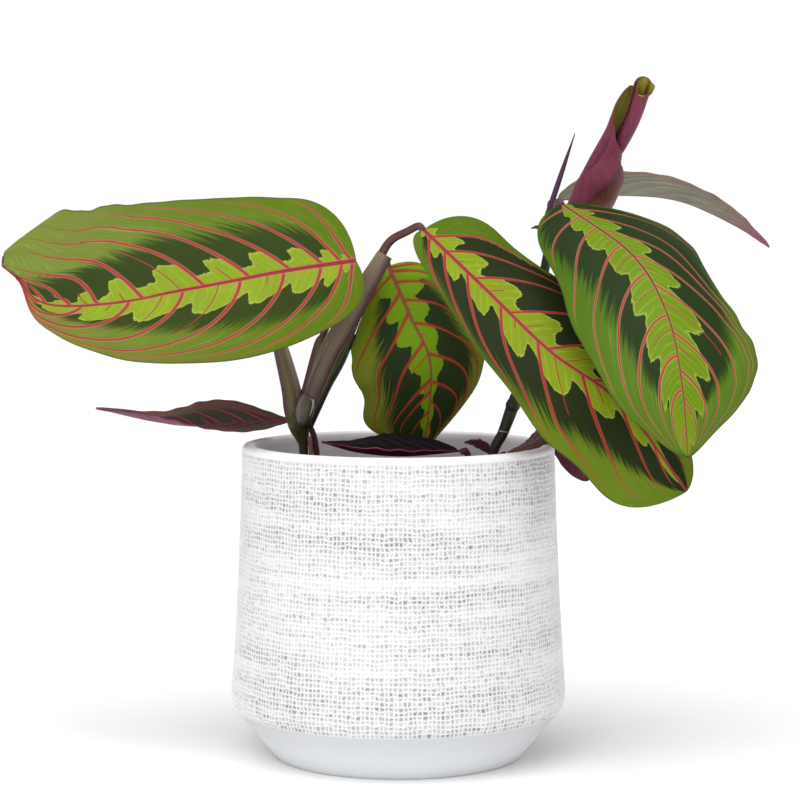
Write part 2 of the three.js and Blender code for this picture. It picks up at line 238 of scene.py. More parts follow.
def newMaterial(name, roughness, specular):
    material = bpy.data.materials.new(name)
    material.use_nodes = True
    surface = material.node_tree.nodes["Principled BSDF"]
    surface.inputs["Roughness"].default_value = roughness
    surface.inputs["Specular IOR Level"].default_value = specular
    return material, material.node_tree, surface


def paint(tree, surface, tone, height, distance, strength=1.0):  # colour, and fine relief from a height
    tree.links.new(tone, surface.inputs["Base Color"])
    inputs = {"Height": height, "Distance": distance, "Strength": strength}
    tree.links.new(addNode(tree, "ShaderNodeBump", inputs).outputs["Normal"], surface.inputs["Normal"])


# camera, light and floor

studio = {
    "cameraPlace": (0, -947 * mm, 213.5 * mm), "pitchDown": 4.29, "lens": 106.74, "shift": 0.002,
    "floorSize": 14, "floorTone": 0.97, "horizonGlow": 0.75, "skyGlow": 0.3,
    "sunPower": 2.45, "sunTilt": 16, "sunTurn": -12, "sunSpread": 60,  # degrees
    "lamps": [((-0.9, -1.3, 1.2), 1.3, 9), ((1.3, -0.8, 0.7), 0.9, 3)],  # place, size, power
    "lampAim": (0, 0, 0.14),
}


def setStudio():
    bpy.ops.object.camera_add(location=studio["cameraPlace"])
    camera = bpy.context.active_object
    camera.rotation_euler = (math.radians(90 - studio["pitchDown"]), 0, 0)
    camera.data.lens = studio["lens"]
    camera.data.sensor_width = 36
    camera.data.shift_x = studio["shift"]
    bpy.context.scene.camera = camera

    bpy.ops.object.select_all(action="DESELECT")
    bpy.ops.mesh.primitive_plane_add(size=studio["floorSize"])
    floor = bpy.context.active_object
    floor.name = "floor"
    material, tree, surface = newMaterial("paleFloor", 0.9, 0.1)
    surface.inputs["Base Color"].default_value = (studio["floorTone"],) * 3 + (1,)
    floor.data.materials.append(material)

    world = bpy.data.worlds.new("studio")
    bpy.context.scene.world = world
    world.use_nodes = True
    tree = world.node_tree
    direction = addNode(tree, "ShaderNodeTexCoord").outputs["Generated"]
    height = Field(tree, addNode(tree, "ShaderNodeSeparateXYZ", {0: direction}).outputs["Z"])
    low, high = studio["horizonGlow"], studio["skyGlow"]
    glow = blend(tree, height.fade(0.08, 0.5), (low, low, low, 1), (high, high, high, 1))
    seen = addNode(tree, "ShaderNodeLightPath").outputs["Is Camera Ray"]  # a plain white backdrop
    tree.links.new(blend(tree, seen, glow, (1, 1, 1, 1)), tree.nodes["Background"].inputs["Color"])

    for place, size, power in studio["lamps"]:
        bpy.ops.object.light_add(type="AREA", location=place)
        lamp = bpy.context.active_object
        aim = Vector(studio["lampAim"]) - Vector(place)
        lamp.rotation_euler = aim.to_track_quat("-Z", "Y").to_euler()
        lamp.data.size = size
        lamp.data.energy = power
    tilt = (math.radians(studio["sunTilt"]), 0, math.radians(studio["sunTurn"]))
    bpy.ops.object.light_add(type="SUN", rotation=tilt)
    sun = bpy.context.active_object
    sun.data.energy = studio["sunPower"]
    sun.data.angle = math.radians(studio["sunSpread"])
    bpy.context.scene.view_settings.view_transform = "Standard"


setStudio()
print("studio ready")


# pot

pot = {
    "height": 125, "rimRadius": 62.5, "wall": 5.5, "bellyRadius": 67.3, "bellyHeight": 25,
    "chamferRadius": 65.3, "chamferHeight": 19, "footRadius": 50.6, "floor": 8, "footInside": 48,
    "wallBends": [(66.6, 36), (65, 61), (63.5, 94)], "innerBends": [(57.8, 100), (59.5, 60), (60.5, 28)],
    "lipOutside": [(0, -1.6), (-0.25, -0.8), (-0.8, -0.25), (-1.6, 0)],  # from the rim's corners
    "lipInside": [(1.2, 0), (0.5, -0.3), (0.1, -1), (0, -3)],
    "netColumns": 232, "netRows": 57, "netTop": 122.6, "threadWidth": 0.56, "pitDepth": 0.34,
    "netEdge": 0.9, "betweenWalls": 61.5, "insideRadius": 60.1,
    "wave": 0.16, "wander": 0.42, "smoothShare": 0.02, "seed": 4,
}
# painted shade: the two chamfer greys colour the down-facing chamfer, lighter at the foot and darker at its
# top, so that it renders as the even grey of its shade
potColours = {
    "white": (238, 239, 238), "cloud": (214, 216, 217), "speck": (176, 178, 182), "pit": (136, 139, 142),
    # painted light: inside is whiter than the outer white, to brighten the shaded inner wall of the pot
    "footLow": (232, 234, 236), "footHigh": (201, 203, 206), "inside": (251, 251, 251),
}


def outerRadius(z):
    heights = [pot["chamferHeight"], pot["chamferHeight"] + 2.5, pot["bellyHeight"]]
    radii = [pot["chamferRadius"], pot["bellyRadius"] - 0.4, pot["bellyRadius"]]
    for radius, height in pot["wallBends"] + [(pot["rimRadius"], pot["height"] - 3)]:
        heights.append(height)
        radii.append(radius)
    return float(np.interp(z, heights, radii))


def turnProfile(name, profile, steps):  # a line of points spun about the upright axis
    mesh = bpy.data.meshes.new(name)
    edges = [(i, i + 1) for i in range(len(profile) - 1)]
    mesh.from_pydata([(r * mm, 0, z * mm) for r, z in profile], edges, [])
    piece = bpy.data.objects.new(name, mesh)
    bpy.context.collection.objects.link(piece)
    spin = {"steps": steps, "angle": math.tau, "center": (0, 0, 0), "axis": (0, 0, 1)}
    inEditMode(piece, selectAll, (bpy.ops.mesh.spin, spin), selectAll, weldPoints, turnFacesOut)
    return piece


def makePot():
    foot, rim, top = pot["footRadius"], pot["rimRadius"], pot["height"]
    profile = [(0, 0), (foot - 8, 0), (foot - 0.8, 0)]
    profile += zip(np.linspace(foot, pot["chamferRadius"], 8), np.linspace(0.8, pot["chamferHeight"], 8))
    net = np.linspace(pot["chamferHeight"], pot["netTop"], pot["netRows"] + 1)
    profile += [(outerRadius(z), z) for z in net[1:]]
    for edge, bends in ((rim, pot["lipOutside"]), (rim - pot["wall"], pot["lipInside"])):
        profile += [(edge + outward, top + upward) for outward, upward in bends]
    profile += pot["innerBends"] + [(pot["footInside"], pot["floor"]), (0, pot["floor"])]
    piece = turnProfile("potDressed", profile, pot["netColumns"])

    rng = np.random.default_rng(pot["seed"])
    mesh = piece.data
    spots = np.empty(len(mesh.vertices) * 3)
    mesh.vertices.foreach_get("co", spots)
    x, y, z = spots.reshape(-1, 3).T.copy()
    radius, angle = np.hypot(x, y), np.arctan2(y, x)
    low, high = (pot["chamferHeight"] + pot["netEdge"]) * mm, (pot["netTop"] - pot["netEdge"]) * mm
    onNet = (z > low) & (z < high) & (radius > pot["betweenWalls"] * mm)
    wave = np.sin(angle * 23 + z * 130) + np.sin(angle * 9 - z * 210)
    z += onNet * (wave * pot["wave"] + rng.normal(0, 0.5, len(z)) * pot["wander"]) * mm
    turn = onNet * rng.normal(0, 0.6, len(z)) * pot["wander"] * mm / np.maximum(radius, mm)
    x, y = x * np.cos(turn) - y * np.sin(turn), x * np.sin(turn) + y * np.cos(turn)
    mesh.vertices.foreach_set("co", np.stack([x, y, z], axis=1).ravel())

    inEditMode(piece, selectNone)
    draw = random.Random(pot["seed"])
    low, high = pot["chamferHeight"] * mm, pot["netTop"] * mm
    for face in mesh.polygons:
        middle = face.center
        reach = math.hypot(middle.x, middle.y)
        facingOut = face.normal.x * middle.x + face.normal.y * middle.y > 0
        if low < middle.z < high and facingOut and reach > pot["betweenWalls"] * mm:
            face.select = draw.random() > pot["smoothShare"]
    pits = {"thickness": pot["threadWidth"] * mm, "depth": -pot["pitDepth"] * mm, "use_individual": True}
    inEditMode(piece, (bpy.ops.mesh.inset, pits))
    pit = np.zeros(len(mesh.vertices))
    for face in mesh.polygons:
        if face.select:
            pit[list(face.vertices)] = 0.45 + 0.55 * draw.random()
    mesh.attributes.new("pit", "FLOAT", "POINT").data.foreach_set("value", pit)
    smoothFaces(piece, 50)
    return piece


def potMaterial():
    material, tree, surface = newMaterial("whiteCeramic", 0.55, 0.3)
    white, cloud, speck, pit, footLow, footHigh, inside = (colour(*tone) for tone in potColours.values())
    chamferTop, lining = pot["chamferHeight"] * mm, pot["insideRadius"] * mm
    height = Field(tree, addNode(tree, "ShaderNodeSeparateXYZ", {0: objectPlace(tree)}).outputs["Z"])
    flat = {0: objectPlace(tree, (1, 1, 0))}
    radius = Field(tree, addNode(tree, "ShaderNodeVectorMath", flat, operation="LENGTH").outputs["Value"])
    onChamfer = 1 - height.fade(chamferTop - 0.0002, chamferTop + 0.0004)
    bands = noise(tree, 1, 4, objectPlace(tree, (8, 8, 170)))
    worn = (bands * 0.72 + noise(tree, 17, 3) * 0.28).fade(0.38, 0.6) * 0.7 + 0.3
    tone = blend(tree, noise(tree, 650, 2).fade(0.6, 0.7) * onChamfer * 0.4, white, speck)
    tone = blend(tree, noise(tree, 210, 3).fade(0.45, 0.8) * 0.3, tone, cloud)
    # painted shade on the chamfer: grey from the foot up, darker towards its top where more light reaches it
    tone = blend(tree, onChamfer * 0.95, tone, blend(tree, height.fade(0, chamferTop), footLow, footHigh))
    tone = blend(tree, attribute(tree, "pit") * worn, tone, pit)
    # painted light: the inner wall above the chamfer gets the whiter inside colour, standing in for light
    # that its shade keeps out
    within = (1 - radius.fade(lining, lining + 0.0002)) * height.fade(chamferTop + 0.0005, chamferTop + 0.001)
    tone = blend(tree, within, tone, inside)
    paint(tree, surface, tone, noise(tree, 1100, 3), 0.0001, 0.5)
    return material


potPiece = makePot()
potPiece.data.materials.append(potMaterial())
placeOnPlant(potPiece, "pot")
print("pot ready")


# soil

soil = {
    "height": 105, "rings": 26, "steps": 120, "relief": 1.2, "roughness": 0.28, "spread": 54, "seed": 9,
    "sides": [(0, 8.4), (47.7, 8.4), (59.9, 28.4), (59, 60), (57.2, 102)], "crumbs": 420, "perlite": 26,
    "crumbSize": (0.5, 1.7), "perliteSize": (0.8, 1.5), "crumbShape": (0.65, 1.1),
}


def soilTop(x, y):
    return soil["height"] + soil["relief"] * (
        np.sin(x / 7 + 1) * np.cos(y / 6) + 0.6 * np.sin((x + 2 * y) / 9)
    )


def makeSoil():
    reach = pot["rimRadius"] - pot["wall"] - 1.4
    rings = [(reach * (1 - k / soil["rings"]), soil["height"]) for k in range(soil["rings"])]
    piece = turnProfile("soilDressed", soil["sides"] + rings + [(0, soil["height"])], soil["steps"])
    rng = np.random.default_rng(soil["seed"])
    for vertex in piece.data.vertices:
        if vertex.co.z > (soil["height"] - 0.1) * mm:
            rough = rng.normal(0, soil["roughness"])
            vertex.co.z = (soilTop(vertex.co.x / mm, vertex.co.y / mm) + rough - 0.3) * mm
    smoothFaces(piece, 40)
    draw = random.Random(soil["seed"])
    crumbs = []
    for number in range(soil["crumbs"]):
        reach, turn = soil["spread"] * math.sqrt(draw.random()), draw.uniform(0, math.tau)
        x, y = reach * math.cos(turn), reach * math.sin(turn)
        pale = number < soil["perlite"]
        size = draw.uniform(*soil["perliteSize" if pale else "crumbSize"])
        centre = (x * mm, y * mm, (float(soilTop(x, y)) + size * 0.2) * mm)
        bpy.ops.object.select_all(action="DESELECT")
        bpy.ops.mesh.primitive_ico_sphere_add(subdivisions=1, radius=size * mm, location=centre)
        crumb = bpy.context.active_object
        for vertex in crumb.data.vertices:
            vertex.co *= draw.uniform(*soil["crumbShape"])
        crumb.data.materials.append(soilMaterials[1 if pale else 0])
        crumbs.append(crumb)
    piece.data.materials.append(soilMaterials[0])
    return joinPieces("soilDressed", [piece] + crumbs)


def makeSoilMaterials():
    material, tree, surface = newMaterial("darkSoil", 0.9, 0.25)
    tone = blend(tree, noise(tree, 300, 5).fade(0.35, 0.7), colour(34, 24, 18), colour(84, 62, 44))
    paint(tree, surface, tone, noise(tree, 900, 4), 0.0006)
    pale, paleTree, paleSurface = newMaterial("perlite", 0.8, 0.3)
    bright = blend(paleTree, noise(paleTree, 900, 3), colour(190, 182, 166), colour(232, 228, 218))
    paleTree.links.new(bright, paleSurface.inputs["Base Color"])
    return material, pale


soilMaterials = makeSoilMaterials()
soilPiece = makeSoil()
placeOnPlant(soilPiece, "soil")
print("soil ready")


# leaf blades

blade = {
    "rows": 170, "columns": 76, "lift": 0.6, "thickness": 0.42, "lobeFade": 6,
    "quilt": 0.1, "ripple": 0.35, "ripples": 4, "rippleTurns": (3, 11), "leftLimit": -154.4,
    "outOfReach": 9,  # a share so far out that nothing is drawn there
}

leaves = {
    # midrib runs from the stalk to the tip, and facing says where the upper side looks along it
    # width, fold and curl (degrees) run along the left half, and then along the right half
    # lobes carry the base back past the stalk, tipPush carries the tip on, and drift moves the rib sideways
    # veins: start on the rib, sweep to the tip, and how far across it gets if it ends there; bow bends it
    # edge: outline of the lime centre from one vein to the next; lime and dark: how far each one reaches
    # darkFrom: the first vein with dark beside it; minor: length of the small vein between two veins
    "leaf_large_left": {
        "midrib": [(-17, -10, 198), (-45, -19, 194), (-77, -25, 188), (-108, -27, 183), (-135, -25, 185),
            (-154.3, -20, 196)],
        "facing": [(0, -0.85, 0.53), (0, -0.85, 0.53)],
        "width": ([45, 41.5, 39, 37.8, 36, 33.2, 29.8, 26.6, 22.6, 18.4, 13.5, 3, 0],
            [64, 54.7, 47, 43.9, 43, 43, 44, 45.5, 48, 50.4, 54.5, 66, 100]),
        "fold": ([5, 5], [5, 5]), "curl": ([-15, -15], [-15, -15]), "lobes": (8, 8),
        "drift": [0, 0, 0, 0, 0, 0, -0.04, -0.14, -0.34, -0.57, -0.78],
        "veins": ([(0.01, 0.055), (0.04, 0.115), (0.1, 0.155), (0.2, 0.17), (0.305, 0.187), (0.442, 0.2),
            (0.575, 0.23), (0.7, 0.25)],
            [(0.01, 0.045), (0.038, 0.095), (0.09, 0.15), (0.18, 0.17, 0.97), (0.28, 0.135, 0.82),
                (0.388, 0.115, 0.7), (0.54, 0.105, 0.6), (0.655, 0.06, 0.45), (0.73, 0.055, 0.4)]),
        "bow": (1.5, 1), "minor": ([0, 0, 0, 0.14, 0.62, 0.36, 0.15], [0, 0, 0.05, 0, 0.18, 0.5, 0.1, 0.2]),
        "edge": ([(0, 0.27), (0.15, 0.31), (0.3, 0.36), (0.45, 0.36), (0.62, 0.31), (0.77, 0.2),
            (0.88, 0.23), (1, 0.27)],
            [(0, 0.25), (0.15, 0.27), (0.38, 0.26), (0.5, 0.22), (0.57, 0.15), (0.75, 0.12), (1, 0.11)]),
        "lime": ([0.6, 1.1, 1, 1, 1, 1, 1, 1, 0.8, 0.3, 0.1],
            [0.5, 0.9, 1, 1, 1, 1, 0.9, 0.7, 0.4, 0.2, 0.1]),
        "dark": ([0.4, 0.66, 0.68, 0.66, 0.6, 0.56, 0.54, 0.46, 0.4, 0.3, 0.2],
            [0.1, 0.5, 0.6, 0.64, 0.62, 0.6, 0.52, 0.46, 0.42, 0.36, 0.3]),
        "darkFrom": (1, 1), "tipPush": (0, 3.4), "teeth": 0.012, "finish": "bright",
    },
    "leaf_middle_right": {
        "midrib": [(10, -8, 210), (34, -26, 187), (58, -44, 164), (84, -54, 145), (109, -52, 112)],
        "facing": [(0.2, -0.75, 0.6), (0, -0.9, 0.4)],
        "width": ([60, 36, 33, 35, 28, 26, 30], [20, 18, 20, 22, 31, 37, 56]), "fold": ([0, -15], [0, -15]),
        "curl": ([-15, -15], [-15, -15]), "lobes": (10, 7),
        "veins": ([(0.028, 0.08), (0.09, 0.11), (0.203, 0.1), (0.343, 0.11), (0.49, 0.13), (0.65, 0.2),
            (0.8, 0.25)],
            [(0.022, 0.06), (0.085, 0.085), (0.175, 0.115), (0.31, 0.13), (0.453, 0.155), (0.613, 0.25),
                (0.74, 0.5), (0.87, 0.6)]),
        "bow": (1, 1), "minor": ([0, 0.1, 0.2, 0.22, 0.35, 0.2], [0, 0.08, 0.1, 0.15, 0.55, 0.15]),
        "edge": ([(0, 0.28), (0.1, 0.33), (0.3, 0.36), (0.5, 0.32), (0.66, 0.2), (0.8, 0.14), (0.9, 0.12),
            (1, 0.18)],
            [(0, 0.34), (0.1, 0.41), (0.28, 0.46), (0.45, 0.42), (0.6, 0.3), (0.72, 0.17), (0.85, 0.2),
                (1, 0.3)]),
        "lime": ([0.9, 1, 1, 1, 1, 1, 0.8, 0.6, 0.4, 0.2, 0.1],
            [1.2, 1.1, 1, 1, 1, 1, 0.9, 0.7, 0.4, 0.2, 0.1]),
        "dark": ([0.5, 0.95, 1.2, 1.2, 1.2, 1.1, 1, 0.9, 0.8, 0.6, 0.3],
            [0.5, 0.8, 0.95, 1, 1, 0.95, 0.85, 0.75, 0.65, 0.45, 0.2]),
        "darkFrom": (0, -9), "teeth": 0.022, "finish": "deep",
    },
    "leaf_upper_right": {
        "midrib": [(65, -6, 220), (89, -38, 201), (100, -60, 180), (104, -76, 156), (106, -82, 128)],
        "facing": [(0.1, -0.6, 0.8), (0.1, -0.95, 0.25)],
        "width": ([88, 52, 32, 33, 38, 33, 14], [38, 35, 36, 34, 32, 30, 18]), "fold": ([-5, -5], [-5, -5]),
        "curl": ([-30, -30], [-30, -30]), "lobes": (7, 10),
        "veins": ([(0.025, 0.08), (0.055, 0.2), (0.147, 0.21), (0.258, 0.21), (0.388, 0.29), (0.583, 0.3),
            (0.723, 0.28), (0.83, 0.25)],
            [(0.018, 0.01), (0.065, 0.045), (0.122, 0.12), (0.21, 0.26), (0.34, 0.47), (0.517, 0.62),
                (0.672, 1), (0.79, 1.2)]),
        "bow": (1, 2), "minor": ([0, 0, 0.05, 0.1, 0.5, 0.15], [0, 0, 0.08, 0.3, 0.3, 0.25]),
        "edge": ([(0, 0.3), (0.15, 0.33), (0.35, 0.34), (0.48, 0.3), (0.62, 0.24), (0.75, 0.17),
            (0.88, 0.22), (1, 0.28)],
            [(0, 0.28), (0.12, 0.32), (0.3, 0.34), (0.46, 0.33), (0.6, 0.28), (0.7, 0.23), (0.85, 0.25),
                (1, 0.28)]),
        "lime": ([0.5, 0.6, 0.7, 0.85, 1, 1, 1, 1, 1, 1, 1],
            [0.7, 1, 1, 0.85, 0.85, 1, 1, 0.95, 0.95, 1, 1]),
        "dark": ([0.5, 0.9, 1.1, 1.1, 1, 0.85, 0.7, 0.6, 0.45, 0.2, 0.1],
            [0.95, 0.95, 0.8, 0.68, 0.66, 0.62, 0.56, 0.5, 0.4, 0.1, 0.1]),
        "teeth": 0.014, "finish": "dense",
    },
    "leaf_centre_back": {
        "midrib": [(-4, 16, 195.2), (5, 8, 175), (13, 2, 156), (11, 11, 123)],
        "facing": [(0, -0.8, 0.6), (0, -1, -0.1)],
        "width": ([33, 23, 21, 20, 23.5, 20, 8], [9, 19, 27, 29.5, 34, 36, 60]), "ribSpan": 0.35,
        "fold": ([0, 0], [0, 0]), "curl": ([-20, -20], [-20, -20]), "lobes": (3, 3),
        "veins": ([(0.007, 0.02), (0.033, 0.05), (0.103, 0.06), (0.22, 0.09), (0.372, 0.15), (0.6, 0.11),
            (0.74, 0.07), (0.82, 0.11)],
            [(0.05, 0.05), (0.17, 0.17), (0.3, 0.35), (0.52, 0.38), (0.73, 0.25), (0.78, 0.27),
                (0.86, 0.3)]),
        "bow": (1, 1), "minor": ([0, 0, 0, 0.1, 0.1], [0, 0, 0, 0.25, 0.1]),
        "edge": ([(0, 0.34), (0.2, 0.36), (0.4, 0.34), (0.6, 0.28), (0.8, 0.22), (1, 0.3)],
            [(0, 0.34), (0.3, 0.35), (0.5, 0.28), (0.72, 0.2), (0.88, 0.25), (1, 0.32)]),
        "lime": ([3, 3, 1.4, 1.2, 1, 0.9, 0.7, 0.55, 0.25, 0.5, 0.5],
            [3, 2.2, 1.3, 1.1, 1, 0.95, 0.8, 0.7, 0.4, 0.3, 0.3]),
        "dark": ([0.4, 0.62, 0.8, 0.86, 0.86, 0.86, 0.86, 0.88, 0.9, 0.85, 0.8],
            [0.5, 0.6, 0.66, 0.66, 0.64, 0.64, 0.66, 0.7, 0.7, 0.7, 0.7]),
        "teeth": 0.015, "finish": "shaded",
    },
    "leaf_edge_on_right": {
        "midrib": [(67, 48, 222), (93, 51, 224), (118, 56, 221.8), (141, 62, 212.4), (157.6, 66, 202.6)],
        "width": ([26, 26, 24, 21, 17, 13, 10], [40, 28, 21, 15, 12, 8, 6]), "fold": ([24, 22], [29, 26]),
        "slot": "leaf_grey", "finish": "deep", "under": "grey",
    },
    "leaf_low_left": {
        "midrib": [(-44, 15, 132.6), (-63, 19, 131.3), (-83, 23, 129.5), (-102, 26, 131.5),
            (-124.5, 28, 136.5)],
        "width": ([17, 18, 15, 13, 12, 14, 20], [8, 11, 15, 16, 15, 12, 8]),
        "fold": ([-10, -10, 8, 20, 4], [20, 38, 36, 14, 14]), "slot": "leaf_dark", "finish": "dusk",
    },
    "leaf_hidden_back": {
        "midrib": [(-57, 27, 184), (-75, 45, 190), (-97, 64, 191), (-120, 84, 184)],
        "facing": [(0, -0.2, 1), (0, -0.2, 1)], "width": ([24, 26, 26, 24, 22], [24, 26, 26, 24, 22]),
        "fold": ([8, 4], [8, 4]), "curl": ([-10, -10], [-10, -10]), "lobes": (6, 6), "finish": "bright",
    },
    "leaf_in_pot": {
        "midrib": [(24, -12, 122.5), (2, -20, 121.5), (-16, -20, 123), (-30, -16, 126.5)],
        "width": ([10, 13, 13, 10, 5], [14, 17, 15, 9, 4]), "fold": ([10, 14], [30, 26]),
        "curl": ([8, 8], [0, 0]), "slot": "leaf_dark", "finish": "nearBlack", "under": "wine",
    },
    "leaf_over_rim": {
        "midrib": [(44, 4, 120.5), (53, 4.5, 124), (62, 6, 128), (72, 10, 120), (76, 16, 108)],
        "facing": [(0, 0, 1), (0, 0, 1), (0, 0, 1), (0.5, 0.4, 0.7), (0.5, 0.85, 0.1)],
        "width": ([10, 13, 14, 15, 16, 16, 13], [10, 12, 12, 12, 12, 12, 10]),
        "fold": ([-3, -2, 0, 0, 0], [-8, -4, 5, 0, 0]), "slot": "leaf_purple", "finish": "duskGreen",
        "under": "wine",
    },
    "leaf_small": {
        "midrib": [(36, -3, 121), (31, -5, 124), (26.5, -6, 125.5)], "facing": [(0, 0.3, 1), (0, 0.3, 1)],
        "width": ([5, 5, 4], [5, 5, 4]), "fold": ([20, 20], [20, 20]), "slot": "leaf_purple",
        "finish": "dusk", "under": "rose",
    },
}
usualLeaf = {  # what a leaf has where its own entry says nothing
    "veins": ([(0.03, 0.15), (0.1, 0.18), (0.2, 0.2), (0.33, 0.22), (0.47, 0.24), (0.62, 0.24),
        (0.76, 0.24)],
        [(0.05, 0.15), (0.13, 0.18), (0.24, 0.2), (0.37, 0.22), (0.51, 0.24), (0.66, 0.24), (0.8, 0.24)]),
    "bow": (1.2, 1.2), "minor": ([0, 0.1, 0, 0.3, 0.1, 0.2], [0, 0, 0.15, 0.3, 0.1]),
    "edge": ([(0, 0.28), (0.15, 0.33), (0.35, 0.35), (0.6, 0.25), (0.75, 0.18), (0.88, 0.22), (1, 0.28)],
        [(0, 0.28), (0.15, 0.33), (0.35, 0.35), (0.6, 0.25), (0.75, 0.18), (0.88, 0.22), (1, 0.28)]),
    "lime": ([0.7, 1, 1, 1, 0.6, 0.2], [0.7, 1, 1, 1, 0.6, 0.2]),
    "dark": ([0.4, 0.65, 0.65, 0.6, 0.4, 0.2], [0.4, 0.65, 0.65, 0.6, 0.4, 0.2]), "drift": [0, 0],
    "teeth": 0.03, "darkFrom": (-9, -9), "tipPush": (0, 0), "ribSpan": 0.2,
    "facing": [(0, 0, 1), (0, 0, 1)], "curl": ([0, 0], [0, 0]), "lobes": (0, 0), "slot": "leaf_green",
    "under": "purple",
}
for leafData in leaves.values():
    for key, value in usualLeaf.items():
        leafData.setdefault(key, value)


def bladeSide(leaf, side, u, t):  # points of one half, 0 for left and 1 for right
    span = leaf["ribSpan"]
    heading = unit(along(leaf["midrib"], u + span) - along(leaf["midrib"], u - span))
    aside = unit(np.cross(heading, along(leaf["facing"], u)))
    upward = np.cross(aside, heading)
    ellipse = 2 * np.sqrt(np.clip(u * (1 - u), 0, 1))
    half = ellipse * along(leaf["width"][side], u)
    fold = np.radians(along(leaf["fold"][side], u))
    curl = np.radians(along(leaf["curl"][side], u)) - 1e-4
    reach = half * (np.sin(fold + curl * t) - np.sin(fold)) / curl
    rise = half * (np.cos(fold) - np.cos(fold + curl * t)) / curl
    back = leaf["lobes"][side] * t * t * (1 - u) ** blade["lobeFade"] * np.minimum(1, ellipse * 1.5)
    back = back - leaf["tipPush"][side] * np.sin(np.pi * t) * u ** 10
    points = along(leaf["midrib"], u) + aside * (reach * (side * 2 - 1))[..., None]
    return points + upward * rise[..., None] - heading * back[..., None]


def surfaceNormals(points):  # upper side up, for rows along and columns across
    across = np.gradient(points, axis=1)
    ahead = np.gradient(points, axis=0)
    normals = np.cross(across, ahead)
    normals[0], normals[-1] = normals[1], normals[-2]
    return unit(normals)


def veinPhase(veins, bow, u, t):  # a whole number on each side vein, and even between them
    lines = []
    for start, share, *end in veins:  # an end below 1 makes the vein run on to the tip
        part = np.minimum(t / (end[0] if end else 1), 1)
        lines.append(start - share * np.log(np.maximum(1 - part ** bow, 0.001)))
    for k in range(1, len(lines)):
        lines[k] = np.maximum(lines[k], lines[k - 1] + 0.01)
    steps = np.diff(lines, axis=0)
    inside = np.clip((u - lines[:-1]) / steps, 0, 1).sum(axis=0)
    return inside + np.minimum((u - lines[0]) / steps[0], 0) + np.maximum((u - lines[-1]) / steps[-1], 0)


def veinSpacing(phase, points):  # millimetres from one side vein to the next
    alongRow, acrossRow = np.gradient(points, axis=0), np.gradient(points, axis=1)
    stepU, stepV = np.gradient(phase, axis=0), np.gradient(phase, axis=1)
    uu, vv, uv = (alongRow ** 2).sum(-1), (acrossRow ** 2).sum(-1), (alongRow * acrossRow).sum(-1)
    slope = vv * stepU ** 2 - 2 * uv * stepU * stepV + uu * stepV ** 2
    slope /= np.maximum(uu * vv - uv * uv, 1e-9)
    return np.clip(1 / np.sqrt(np.maximum(slope, 1e-6)), 0.2, 40)


def leafPattern(leaf, u, v, points):  # what the leaf finishes read at each point
    rib = along(leaf["drift"], u)
    onRight = v >= rib

    def ownSide(pair):  # of the left and the right value, the one for the point's own half
        return np.where(onRight, pair[1], pair[0])

    across = np.clip(np.abs(v - rib) / ownSide((1 + rib, 1 - rib)), 0, 1)
    halves = [veinPhase(leaf["veins"][side], leaf["bow"][side], u, across) for side in (0, 1)]
    values = {"ahead": u, "across": across, "side": onRight.astype(float), "phase": ownSide(halves)}
    values["veinGap"] = ownSide([veinSpacing(half, points) for half in halves])
    for name in ("lime", "dark"):
        values[name] = across / ownSide([np.maximum(along(reach, u), 0.02) for reach in leaf[name]])
    values["dark"] += blade["outOfReach"] * (values["phase"] < ownSide(leaf["darkFrom"]))
    minor = []
    for half, lengths in zip(halves, leaf["minor"]):
        lengths = np.array(list(lengths) + [0.0])
        minor.append(lengths[np.clip(np.floor(half), 0, len(lengths) - 1).astype(int)])
    values["minor"] = np.minimum(across / np.maximum(ownSide(minor), 0.001), blade["outOfReach"])
    widths = [2 * np.sqrt(u * (1 - u)) * along(width, u) for width in leaf["width"]]
    values["fromRib"] = np.abs(v - rib) * np.where(v >= 0, widths[1], widths[0])
    return values


def makeBlade(name, leaf, finishes, seed):
    rng = random.Random(seed)
    half = blade["columns"] // 2
    u = (1 - np.cos(np.pi * np.arange(blade["rows"] + 1) / blade["rows"])) / 2
    t = (np.arange(half + 1) / half) ** 1.25
    v = np.concatenate([-t[:0:-1], t])
    uHalf, tHalf = np.meshgrid(u, t, indexing="ij")
    u, v = np.meshgrid(u, v, indexing="ij")
    left, right = (bladeSide(leaf, side, uHalf, tHalf) for side in (0, 1))
    points = np.concatenate([left[:, :0:-1], right], axis=1)
    values = leafPattern(leaf, u, v, points)
    normals = surfaceNormals(points)
    quilt = blade["quilt"] * np.cos(math.tau * values["phase"]) * (values["phase"] > 0)
    quilt *= np.clip(values["across"] * 4, 0, 1) * np.clip((1 - values["across"]) * 5, 0, 1)
    wave = np.zeros_like(quilt)
    for ripple in range(blade["ripples"]):
        turns, start = rng.uniform(*blade["rippleTurns"]), rng.uniform(0, math.tau)
        wave += np.sin(math.tau * turns * u + start + (v > 0) * 2) / 2.5
    wave *= blade["ripple"] * np.abs(v) ** 3 * np.sin(np.pi * u) ** 0.5
    points = points + normals * (blade["lift"] - quilt + wave)[..., None]
    points[..., 0] = np.maximum(points[..., 0], blade["leftLimit"])
    piece = gridPiece(name + "_dressed", points, values)
    thicken(piece, *finishes, blade["thickness"], 1)
    placeOnPlant(piece, name)


# leaf finishes: top and underside

